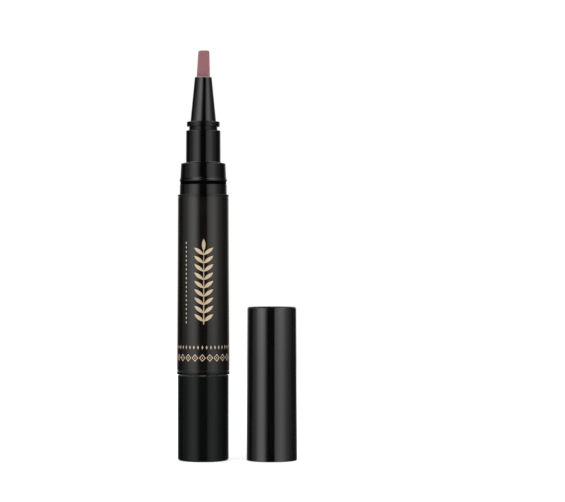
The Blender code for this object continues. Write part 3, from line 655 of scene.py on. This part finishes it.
def makeFoil():
    base = bpy.data.objects["labelFilm"]
    sprig, leaf, row = foil["sprig"], foil["leaf"], foil["row"]
    piece = newPiece("foilOrnament")
    drawOutline(piece, [
        (sprig["middle"] + sprig["stemFoot"], sprig["low"]),
        (sprig["middle"] + sprig["stemHead"], sprig["high"]),
        (sprig["middle"] - sprig["stemHead"], sprig["high"]),
        (sprig["middle"] - sprig["stemFoot"], sprig["low"]),
    ])
    fillOutline()
    closePiece()
    shape = flatLeaf()
    step = (sprig["high"] - sprig["low"]) / sprig["pairs"]
    leaves = [copyTo(shape, sprig["middle"], sprig["high"] - sprig["topLeafSink"], 90)]
    for index in range(sprig["pairs"]):
        level = sprig["low"] + step * (index + sprig["firstPair"])
        leaves.append(copyTo(shape, sprig["middle"], level, leaf["turn"]))
        leaves.append(copyTo(shape, sprig["middle"], level, 180 - leaf["turn"]))
    bpy.data.objects.remove(shape)
    joinTo(piece, leaves)
    shape = flatLozenge("foilLozenge", row["width"], row["height"])
    rise = (row["high"] - row["low"]) / (row["count"] - 1)
    levels = [row["low"] + rise * index for index in range(row["count"])]
    joinTo(piece, [copyTo(shape, row["across"], level) for level in levels])
    bpy.data.objects.remove(shape)
    layFoil(piece, base)
    upper, lower = foil["upperBand"], foil["lowerBand"]
    bands = [
        makeBand(base, upper, [flatLozenge("foilUpperBand", upper["width"], upper["height"])]),
        makeBand(base, lower, [
            flatLozenge("foilLowerBand", lower["width"], lower["height"], lower["line"]),
            flatLozenge("foilLowerDrop", lower["width"] * lower["drop"], lower["height"] * lower["drop"]),
        ]),
    ]
    joinTo(piece, bands)
    finishPiece(piece, "barrel", None, finish["goldFoil"])


# the collar: plug, snap bead, tapered band and neck

collar = {
    "neckHead": 5.23, "neckTop": 100.5, "neckRound": 0.30, "neckFoot": 5.28, "neckBase": 90.72,
    "fillet": 0.20, "filletTop": 90.93, "filletFoot": 90.67,
    "bandHead": 6.76, "bandTop": 90.42, "bandRound": 0.20, "bandFoot": 6.99, "bandBase": 86.05,
    "bead": 7.24, "beadTop": 85.28, "beadFoot": 85.03, "beadRound": 0.35, "beadEdge": 0.03,
    "underBead": 7.00, "underTop": 84.87, "seat": 84.04,
    # where the painted shade under the bead reaches
    "beadShadeInner": 6.5, "beadShadeFoot": 83.94, "beadShadeTop": 85.00,
    "plug": 6.3, "plugBase": 76.8, "plugRound": 0.20, "plugBore": 4.8, "boreRound": 0.10,
    "groove": 5.5, "grooveTop": 81.3, "grooveBase": 80.1, "grooveRound": 0.04,
    "throat": 3.35, "throatBase": 91.4, "shelf": 94.4, "neckBore": 4.35,
}


def makeCollar():
    piece = turnPiece("collarSleeve", named(collar, [
        ("neckHead", "neckTop", "neckRound"),
        ("neckFoot", "neckBase", "fillet"),
        ("bandHead", "bandTop", "bandRound"),
        ("bandFoot", "bandBase", "beadRound"),
        ("bead", "beadTop", "beadRound"),
        ("bead", "beadFoot", "beadEdge"),
        ("underBead", "underTop"),
        ("underBead", "seat"),
        ("plug", "seat"),
        ("plug", "grooveTop", "grooveRound"),
        ("groove", "grooveTop"),
        ("groove", "grooveBase"),
        ("plug", "grooveBase", "grooveRound"),
        ("plug", "plugBase", "plugRound"),
        ("plugBore", "plugBase", "boreRound"),
        ("plugBore", "seat"),
        ("throat", "throatBase"),
        ("throat", "shelf"),
        ("neckBore", "shelf"),
        ("neckBore", "neckTop", "boreRound"),
    ]))
    finishPiece(piece, "barrel", "collar", finish["collarBlack"])
    # the faces under the snap bead, down to the seat, are painted near black: painted shade in the recess
    # under the bead
    paintFaces(piece, finish["seamBlack"], lambda radius, height: (
        radius > collar["beadShadeInner"] and collar["beadShadeFoot"] < height < collar["beadShadeTop"]))
    paintFaces(piece, finish["coneBlack"], lambda radius, height: (
        radius > collar["neckHead"] and collar["filletFoot"] < height < collar["filletTop"]))


# the nozzle: waist, flange and cone round the brush holder

nozzle = {
    "tipRadius": 2.57, "tip": 116.85, "tipRound": 0.35, "tipBore": 2.1, "mouthRound": 0.05,
    "coneFoot": 3.92, "coneBase": 103.2, "coneRound": 0.12,
    "flange": 5.01, "flangeRound": 0.30, "flangeBase": 101.7, "baseRound": 0.08,
    "waist": 4.30, "waistBase": 95.8,
    "lowerBore": 3.2, "chamber": 2.45, "chamberBase": 107.8, "shoulder": 112.2,
    # where the flange turns duller, and where the painted tip highlight begins
    "duller": {"inner": 3.3, "top": 103.3}, "tipHighlight": {"inner": 2.2, "foot": 116.6},
}


def makeNozzle():
    piece = turnPiece("nozzleCone", named(nozzle, [
        ("tipRadius", "tip", "tipRound"),
        ("coneFoot", "coneBase", "coneRound"),
        ("flange", "coneBase", "flangeRound"),
        ("flange", "flangeBase", "baseRound"),
        ("waist", "flangeBase", "baseRound"),
        ("waist", "waistBase"),
        ("lowerBore", "waistBase"),
        ("lowerBore", "flangeBase"),
        ("chamber", "chamberBase"),
        ("chamber", "shoulder"),
        ("tipBore", "shoulder"),
        ("tipBore", "tip", "mouthRound"),
    ]))
    finishPiece(piece, "barrel", "nozzle", finish["coneBlack"])
    duller, tipHighlight = nozzle["duller"], nozzle["tipHighlight"]
    paintFaces(piece, finish["flangeBlack"], lambda radius, height: (
        radius > duller["inner"] and height < duller["top"]))
    # the tip's rounding is painted light grey: a painted highlight where its top edge catches the light
    paintFaces(piece, finish["gelTouched"], lambda radius, height: (
        radius > tipHighlight["inner"] and height > tipHighlight["foot"]))


# the cap and its liner

cap = {
    "height": 46.7, "head": 7.45, "rim": 7.72, "topRound": 0.55, "rimRound": 0.30, "roundSteps": 7,
    "bore": 7.08, "endWall": 1.2, "mouth": 7.33, "mouthDepth": 5.3, "mouthRise": 0.25, "mouthRound": 0.06,
    "gate": {"radius": 0.6, "depth": 0.06, "slope": 0.08, "round": 0.04},
}
liner = {
    "top": 45.2, "bore": 5.44, "narrow": 4.5, "wall": 0.6, "step": 23.3, "stepTop": 24.24, "mouth": 10.5,
    "endRound": 0.3, "flange": 6.88, "flangeTop": 11.2, "flangeRound": 0.1, "turnSteps": 96,
    "fin": {"count": 6, "width": 0.8, "root": 4.8, "reach": 6.85, "foot": 10.9, "top": 44.3},
    "hollow": {"wider": 0.05, "foot": 9.5},
}


def makeCap():
    gate = cap["gate"]
    piece = turnPiece("capShell", [
        (0, cap["height"] - gate["depth"]),
        (gate["radius"] - gate["slope"], cap["height"] - gate["depth"]),
        (gate["radius"], cap["height"], gate["round"]),
        (cap["head"], cap["height"], cap["topRound"]),
        (cap["rim"], 0, cap["rimRound"]),
        (cap["mouth"], 0, cap["mouthRound"]),
        (cap["mouth"], cap["mouthDepth"]),
        (cap["bore"], cap["mouthDepth"] + cap["mouthRise"]),
        (cap["bore"], cap["height"] - cap["endWall"]),
        (0, cap["height"] - cap["endWall"]),
    ], middle=capMiddle, roundSteps=cap["roundSteps"])
    finishPiece(piece, "cap", "cap_shell", finish["capBlack"])
    paintFaces(piece, finish["rimBlack"], lambda radius, height: height < cap["rimRound"])
    paintFaces(piece, finish["coneBlack"], lambda radius, height: height > cap["height"] - cap["topRound"])


def makeLiner():
    wall, fin, hollow = liner["wall"], liner["fin"], liner["hollow"]
    piece = turnPiece("capLiner", [
        (0, liner["top"]),
        (liner["narrow"] + wall, liner["top"], liner["endRound"]),
        (liner["narrow"] + wall, liner["stepTop"]),
        (liner["bore"] + wall, liner["step"]),
        (liner["bore"] + wall, liner["flangeTop"]),
        (liner["flange"], liner["flangeTop"], liner["flangeRound"]),
        (liner["flange"], liner["mouth"], liner["flangeRound"]),
        (liner["bore"], liner["mouth"]),
        (liner["bore"], liner["step"]),
        (liner["narrow"], liner["stepTop"]),
        (liner["narrow"], liner["top"] - wall),
        (0, liner["top"] - wall),
    ], middle=capMiddle, steps=liner["turnSteps"])
    fins = ringOfBlocks(
        "linerFins", fin["count"], fin["width"], fin["root"], fin["reach"], fin["foot"], fin["top"],
        middle=capMiddle,
    )
    core = turnPiece("linerHollow", [
        (0, hollow["foot"]),
        (liner["bore"] + hollow["wider"], hollow["foot"]),
        (liner["bore"] + hollow["wider"], liner["step"]),
        (liner["narrow"] + hollow["wider"], liner["stepTop"]),
        (liner["narrow"] + hollow["wider"], liner["top"] - wall),
        (0, liner["top"] - wall),
    ], middle=capMiddle, steps=liner["turnSteps"])
    combine(fins, core, "DIFFERENCE")
    combine(piece, fins, "UNION")
    finishPiece(piece, "cap", "cap_liner", finish["naturalWhite"])


# the brush: a flat tuft of tapered filaments, set in a slice and soaked with gel

tuft = {
    "halfWidth": 2.05, "halfDepth": 1.16, "squareness": 3.6, "pitch": 0.112, "hole": 0.6,
    "radius": 0.052, "tipShare": 0.74, "bevelSteps": 1, "stops": (0.0, 0.4, 0.6, 0.8, 0.92, 1.0),
    "tipWidth": 0.79, "tipDepth": 0.70, "narrowing": 1.6, "lean": 0.26, "shift": -0.05, "shiftBy": 1 / 3,
    "root": 111.6, "tip": 124.9, "cornerDrop": 0.30, "uneven": 0.10, "wander": 0.010, "seed": 11,
    "slice": {"low": 111.3, "high": 111.9, "radius": 2.25, "round": 0.05, "turnSteps": 64},
}
fill = {
    "low": 112.4, "high": 124.74, "share": 1.015, "steps": 12,
    "corner": 0.55, "cornerSteps": 8, "topRound": 0.26, "topSteps": 4,
}


def tuftAt(along):
    # how wide, how deep and how far aside the tuft is, from its root (0) to its tip (1)
    late = along ** tuft["narrowing"]
    wide = 1 + (tuft["tipWidth"] - 1) * late
    deep = 1 + (tuft["tipDepth"] - 1) * late
    return wide, deep, tuft["shift"] * min(1, along / tuft["shiftBy"]) + tuft["lean"] * late


def strandPlaces():
    rowStep = tuft["pitch"] * math.sqrt(3) / 2
    rows = math.ceil(tuft["halfDepth"] / rowStep)
    columns = math.ceil(tuft["halfWidth"] / tuft["pitch"])
    for row in range(-rows, rows + 1):
        for column in range(-columns, columns + 1):
            x = (column + 0.5 * (row % 2)) * tuft["pitch"]
            y = row * rowStep
            across, back = abs(x / tuft["halfWidth"]), abs(y / tuft["halfDepth"])
            reach = across ** tuft["squareness"] + back ** tuft["squareness"]
            if reach <= 1 and math.hypot(x, y) > tuft["hole"]:
                yield x, y, reach


def makeTuft():
    chance = random.Random(tuft["seed"])
    wires = bpy.data.curves.new("brushTuft", "CURVE")
    wires.dimensions = "3D"
    wires.bevel_depth = tuft["radius"] * mm
    wires.bevel_resolution = tuft["bevelSteps"]
    wires.use_fill_caps = True
    for x, y, reach in strandPlaces():
        wire = wires.splines.new("POLY")
        wire.points.add(len(tuft["stops"]) - 1)
        top = tuft["tip"] - tuft["cornerDrop"] * reach ** 2 - tuft["uneven"] * chance.random()
        bend = chance.uniform(-1, 1) * tuft["wander"], chance.uniform(-1, 1) * tuft["wander"]
        for point, along in zip(wire.points, tuft["stops"]):
            swell = math.sin(math.pi * along)
            wide, deep, aside = tuftAt(along)
            across = x * wide + aside + bend[0] * swell
            height = tuft["root"] + (top - tuft["root"]) * along
            point.co = (across * mm, (y * deep + bend[1] * swell) * mm, height * mm, 1)
            point.radius = 1 + (tuft["tipShare"] - 1) * along
    piece = bpy.data.objects.new("brushTuft", wires)
    placeInScene(piece)
    makeActive(piece)
    bpy.ops.object.convert(target="MESH")
    held = tuft["slice"]
    plate = turnPiece("tuftSlice", [
        (held["radius"], held["high"], held["round"]),
        (held["radius"], held["low"], held["round"]),
        (tuft["hole"], held["low"]),
        (tuft["hole"], held["high"]),
    ], steps=held["turnSteps"])
    joinTo(piece, [plate])
    finishPiece(piece, "barrel", "brush_bristles", finish["roseGel"])


def makeFill():
    # the gel between the filaments: a rounded block that narrows and leans with them
    piece = newPiece("gelFill")
    pickAll()
    bpy.ops.mesh.delete(type="VERT")
    low, rise = fill["low"], (fill["high"] - fill["low"]) / fill["steps"]
    bpy.ops.mesh.primitive_plane_add(size=mm, location=(0, 0, low * mm))
    levels = [low + rise * step for step in range(fill["steps"] + 1)]
    alongs = [(level - tuft["root"]) / (tuft["tip"] - tuft["root"]) for level in levels]
    wide, deep, aside = tuftAt(alongs[0])
    width, depth = (2 * tuft[side] * fill["share"] for side in ("halfWidth", "halfDepth"))
    bpy.ops.transform.resize(value=(width * wide, depth * deep, 1), center_override=(0, 0, low * mm))
    bpy.ops.transform.translate(value=(aside * mm, 0, 0))
    bpy.ops.mesh.bevel(offset=fill["corner"] * mm, segments=fill["cornerSteps"], affect="VERTICES")
    pickAll()
    for level, along in zip(levels[1:], alongs[1:]):
        newWide, newDeep, newAside = tuftAt(along)
        bpy.ops.mesh.extrude_region_move(TRANSFORM_OT_translate={
            "value": ((newAside - aside) * mm, 0, rise * mm),
        })
        bpy.ops.transform.resize(
            value=(newWide / wide, newDeep / deep, 1),
            center_override=(newAside * mm, 0, level * mm),
        )
        wide, deep, aside = newWide, newDeep, newAside
    bpy.ops.mesh.select_mode(type="EDGE")
    bpy.ops.mesh.region_to_loop()
    bpy.ops.mesh.bevel(offset=fill["topRound"] * mm, segments=fill["topSteps"], affect="EDGES")
    pickAll()
    bpy.ops.mesh.normals_make_consistent(inside=False)
    closePiece()
    finishPiece(piece, "barrel", None, finish["roseGel"])


makeKnob()
makeBarrel()
makeFilm()
makeFoil()
makeCollar()
makeNozzle()
makeCap()
makeLiner()
print("turned pieces made")
makeTuft()
makeFill()
print("brush made")


# the inner works, copied from the frame and finished

innerWorks = {
    "drive_nut": ("driveNut", "barrel", finish["naturalWhite"]),
    "collar_seal": ("collarSeal", "barrel", finish["sealRubber"]),
    "brush_holder": ("brushHolder", "barrel", finish["naturalWhite"]),
    "feed_tube": ("feedTube", "barrel", finish["drawnSteel"]),
    "rotator": ("rotatorSleeve", "knob", finish["naturalWhite"]),
    "click_ring": ("clickRing", "knob", finish["creamWhite"]),
    "spindle": ("spindleRod", "spindle", finish["naturalWhite"]),
    "piston": ("pistonPlunger", "piston", finish["softMilky"]),
}
for node, (name, body, material) in innerWorks.items():
    finishPiece(copyNode(node, name), body, node, material)
print("inner works finished")


# the pen and the cap were lit one by one, so neither shows in the other's gloss, nor does what they hold

keptFromGloss = (
    "knobCup", "barrelTube", "labelFilm", "foilOrnament", "capShell", "capLiner",
    "driveNut", "rotatorSleeve", "clickRing", "spindleRod", "pistonPlunger",
)
for name in keptFromGloss:
    bpy.data.objects[name].visible_glossy = False


# the studio: its light, its floor, its lamps and its camera

studio = {
    "world": 0.58, "floor": 0.8, "floorSize": 8000, "floorDrop": 0.05,
    "lens": 146.26, "sensor": 36, "cameraPlace": (24.16, -700, 63.76), "clipStart": 10,
    "lampTarget": (10, 0, 62),
    "lamps": {
        "leftLamp": {"place": (-260, -330, 260), "size": 260, "power": 0.74},
        "rightLamp": {"place": (290, -330, 260), "size": 260, "power": 0.60},
        "backLamp": {"place": (10, 420, 320), "size": 260, "power": 0.70},
    },
}


def addSeenBySight(tree, place):
    # 1 for what the camera, gloss and glass see, 0 for what lights the object
    x, y = place
    seen = addNode(tree, "ShaderNodeLightPath", place).outputs
    either = addMath(tree, (x + 200, y), "MAXIMUM", seen["Is Camera Ray"], seen["Is Glossy Ray"])
    return addMath(tree, (x + 400, y), "MAXIMUM", either, seen["Is Transmission Ray"])


def makeWorld():
    world = bpy.data.worlds.new("studioWorld")
    bpy.context.scene.world = world
    world.use_nodes = True
    tree = world.node_tree
    tree.nodes.clear()
    white = addNode(tree, "ShaderNodeBackground", (-400, 0))
    soft = addNode(tree, "ShaderNodeBackground", (-400, -150))
    mix = addNode(tree, "ShaderNodeMixShader", (-150, 0))
    out = addNode(tree, "ShaderNodeOutputWorld", (50, 0))
    setInputs(white, {"Color": (1, 1, 1, 1)})
    setInputs(soft, {"Color": (1, 1, 1, 1), "Strength": studio["world"]})
    tree.links.new(addSeenBySight(tree, (-1000, 200)), mix.inputs[0])
    tree.links.new(soft.outputs[0], mix.inputs[1])
    tree.links.new(white.outputs[0], mix.inputs[2])
    tree.links.new(mix.outputs[0], out.inputs[0])


def makeFloor():
    selectNothing()
    bpy.ops.mesh.primitive_plane_add(
        size=studio["floorSize"] * mm, location=(0, 0, -studio["floorDrop"] * mm),
    )
    floor = bpy.context.object
    floor.name = "floor"
    material, tree = newMaterial("paleFloor")
    tree.nodes.clear()
    # its own colour takes the soft light; the glow lifts it to white for sight alone
    missing = 1 - studio["floor"] * studio["world"]
    lift = addMath(tree, (-250, 200), "MULTIPLY", addSeenBySight(tree, (-900, 200)), missing)
    glow = addNode(tree, "ShaderNodeEmission", (-100, 100))
    matt = addNode(tree, "ShaderNodeBsdfDiffuse", (-100, -100))
    both = addNode(tree, "ShaderNodeAddShader", (100, 0))
    out = addNode(tree, "ShaderNodeOutputMaterial", (300, 0))
    setInputs(matt, {"Color": (studio["floor"],) * 3 + (1,)})
    tree.links.new(lift, glow.inputs["Strength"])
    tree.links.new(glow.outputs[0], both.inputs[0])
    tree.links.new(matt.outputs[0], both.inputs[1])
    tree.links.new(both.outputs[0], out.inputs["Surface"])
    floor.data.materials.append(material)


# a white tent round the object, seen in its gloss alone

tent = {
    "middle": 10.5, "radius": 170, "height": 230, "steps": 180, "light": 6.0,
    "roofShare": 0.998,  # above this share of its height is its roof,
    "roofShift": 150,    # whose tones fan out from this far behind the middle
    # how bright it is, going round from the back by the left, the front (0) and the right, in degrees
    "round": [
        (-180, 0.0), (-175, 0.0), (-168, 0.25), (-156, 0.28), (-146, 0.12), (-130, 0.02), (-110, 0.01),
        (-90, 0.14), (-78, 0.26), (-60, 0.74), (-51, 0.96), (-44, 1.00), (-33, 0.82), (-24, 0.30),
        (-17, 0.05), (-12, 0.0), (14, 0.0), (16, 0.10), (18, 0.46), (22, 0.49), (34, 0.70), (46, 0.78),
        (54, 0.68), (62, 0.50), (74, 0.26), (90, 0.12), (108, 0.03), (134, 0.02), (148, 0.12),
        (156, 0.26), (168, 0.25), (175, 0.0),
    ],
    # how bright it is by height: dimmer near the table, brightest at its upper edge
    "rise": [
        (0, 0.26), (20, 0.27), (37, 0.31), (60, 0.42), (92, 0.42), (104, 0.37), (120, 0.40),
        (145, 0.44), (155, 0.46), (166, 0.41), (180, 0.80), (222, 0.85), (230, 0.45),
    ],
    # by height, what share of the lean there is: the tones lean round by up to so many degrees,
    # and the right side is dimmer by up to the share leanDim
    "leanRise": [(0, 0), (138, 0), (147, 0.33), (164, 1), (170, 1), (182, 0)],
    "lean": 18, "leanDim": 0.12,
}


def addTones(tree, place, source, stops, low, high):
    # tones at stops between low and high, blended softly
    node = addNode(tree, "ShaderNodeValToRGB", place)
    ramp = node.color_ramp
    ramp.interpolation = "EASE"
    ramp.elements.remove(ramp.elements[1])
    for index, (stop, tone) in enumerate(stops):
        share = (stop - low) / (high - low)
        element = ramp.elements[0] if index < 1 else ramp.elements.new(share)
        element.position = share
        element.color = (tone, tone, tone, 1)
    tree.links.new(source, node.inputs["Fac"])
    return node.outputs["Color"]


def tentCloth():
    material, tree = newMaterial("tentCloth")
    tree.nodes.clear()
    top = tent["height"]
    where = addNode(tree, "ShaderNodeTexCoord", (-1400, 0))
    parts = addNode(tree, "ShaderNodeSeparateXYZ", (-1200, 0))
    tree.links.new(where.outputs["Object"], parts.inputs[0])
    height = addMath(tree, (-1000, -400), "MULTIPLY", parts.outputs["Z"], 1 / (top * mm))
    # the direction, from the tent's middle, or from behind it on the roof
    across = addMath(tree, (-1000, 100), "SUBTRACT", parts.outputs["X"], tent["middle"] * mm)
    forward = addMath(tree, (-1000, -100), "MULTIPLY", parts.outputs["Y"], -1)
    roof = addMath(tree, (-800, -250), "GREATER_THAN", height, tent["roofShare"])
    fanned = addMath(tree, (-600, -100), "MULTIPLY_ADD", roof, tent["roofShift"] * mm, forward)
    turn = addMath(tree, (-400, 0), "ARCTAN2", across, fanned)
    # the lean, and how it dims the right side
    leaning = addTones(tree, (-800, -500), height, tent["leanRise"], 0, top)
    lean = addMath(tree, (-400, -300), "MULTIPLY", leaning, math.radians(tent["lean"]))
    leant = addMath(tree, (-200, -100), "SUBTRACT", turn, lean)
    rightSide = addMath(tree, (-200, -500), "GREATER_THAN", turn, 0)
    rightLean = addMath(tree, (0, -500), "MULTIPLY", rightSide, leaning)
    rightDim = addMath(tree, (200, -500), "MULTIPLY_ADD", rightLean, -tent["leanDim"], 1)
    # tone by direction, times tone by height
    fullTurn = addRange(tree, (0, 0), leant, 0, 1, -math.pi, math.pi)
    tones = addTones(tree, (200, 0), fullTurn, tent["round"], -180, 180)
    rise = addTones(tree, (100, -250), height, tent["rise"], 0, top)
    dimmed = addMath(tree, (400, -300), "MULTIPLY", rightDim, rise)
    both = addMath(tree, (600, -100), "MULTIPLY", tones, dimmed)
    strength = addMath(tree, (800, 0), "MULTIPLY", both, tent["light"])
    glow = addNode(tree, "ShaderNodeEmission", (1000, 0))
    out = addNode(tree, "ShaderNodeOutputMaterial", (1200, 0))
    tree.links.new(strength, glow.inputs["Strength"])
    tree.links.new(glow.outputs[0], out.inputs["Surface"])
    return material


def onlyInGloss(prop):
    # the camera, the floor's light and the shadows pass through it
    prop.visible_camera = False
    prop.visible_diffuse = False
    prop.visible_shadow = False


def makeTent():
    selectNothing()
    bpy.ops.mesh.primitive_cylinder_add(
        vertices=tent["steps"], radius=tent["radius"] * mm, depth=tent["height"] * mm, end_fill_type="NGON",
    )
    prop = bpy.context.object
    prop.name = "tent"
    prop.data.transform(Matrix.Translation((tent["middle"] * mm, 0, tent["height"] / 2 * mm)))
    openPiece(prop)
    pickVerts(prop, lambda co: co.z < 1)
    bpy.ops.mesh.delete(type="ONLY_FACE")  # the tent is open at its foot
    closePiece()
    prop.data.materials.append(tentCloth())
    onlyInGloss(prop)


# a polished white table top under the object, also seen in its gloss alone: a mirror at a glancing look

table = {
    "radius": 172, "steps": 96, "drop": 0.02, "grey": 0.95, "roughness": 0.02, "white": 0.35,
    "glance": (0.30, 0.50),  # looked down on it is white, and between these it turns to a mirror
}


def makeTableGloss():
    selectNothing()
    bpy.ops.mesh.primitive_circle_add(
        vertices=table["steps"], radius=table["radius"] * mm, fill_type="NGON",
    )
    prop = bpy.context.object
    prop.name = "tableGloss"
    prop.data.transform(Matrix.Translation((tent["middle"] * mm, 0, -table["drop"] * mm)))
    material, tree = newMaterial("tableGloss")
    shader = tree.nodes["Principled BSDF"]
    setInputs(shader, {
        "Base Color": (table["grey"],) * 3 + (1,), "Metallic": 1.0, "Roughness": table["roughness"],
    })
    facing = addNode(tree, "ShaderNodeLayerWeight", (-500, 300)).outputs["Facing"]
    white = addNode(tree, "ShaderNodeEmission", (-200, 200))
    mix = addNode(tree, "ShaderNodeMixShader", (300, 200))
    setInputs(white, {"Strength": table["white"]})
    tree.links.new(addRange(tree, (-300, 400), facing, 0, 1, *table["glance"]), mix.inputs[0])
    tree.links.new(white.outputs[0], mix.inputs[1])
    tree.links.new(shader.outputs[0], mix.inputs[2])
    tree.links.new(mix.outputs[0], tree.nodes["Material Output"].inputs["Surface"])
    prop.data.materials.append(material)
    onlyInGloss(prop)


# lamps and camera

def makeLamp(name, settings):
    light = bpy.data.lights.new(name, "AREA")
    light.shape = "SQUARE"
    light.size = settings["size"] * mm
    light.energy = settings["power"]
    lamp = bpy.data.objects.new(name, light)
    away = Vector(settings["place"]) - Vector(studio["lampTarget"])
    lamp.location = Vector(settings["place"]) * mm
    lamp.rotation_euler = away.to_track_quat("Z", "Y").to_euler()
    lamp.visible_camera = False
    lamp.visible_glossy = False
    placeInScene(lamp)


def makeCamera():
    camera = bpy.data.cameras.new("photoCamera")
    camera.lens = studio["lens"]
    camera.sensor_width = studio["sensor"]
    camera.clip_start = studio["clipStart"] * mm
    holder = bpy.data.objects.new("photoCamera", camera)
    holder.location = [side * mm for side in studio["cameraPlace"]]
    holder.rotation_euler = (math.radians(90), 0, 0)
    placeInScene(holder)
    bpy.context.scene.camera = holder


makeWorld()
makeFloor()
makeTent()
makeTableGloss()
for name, settings in studio["lamps"].items():
    makeLamp(name, settings)
makeCamera()

bpy.context.scene.view_settings.view_transform = "Standard"
print("studio set")
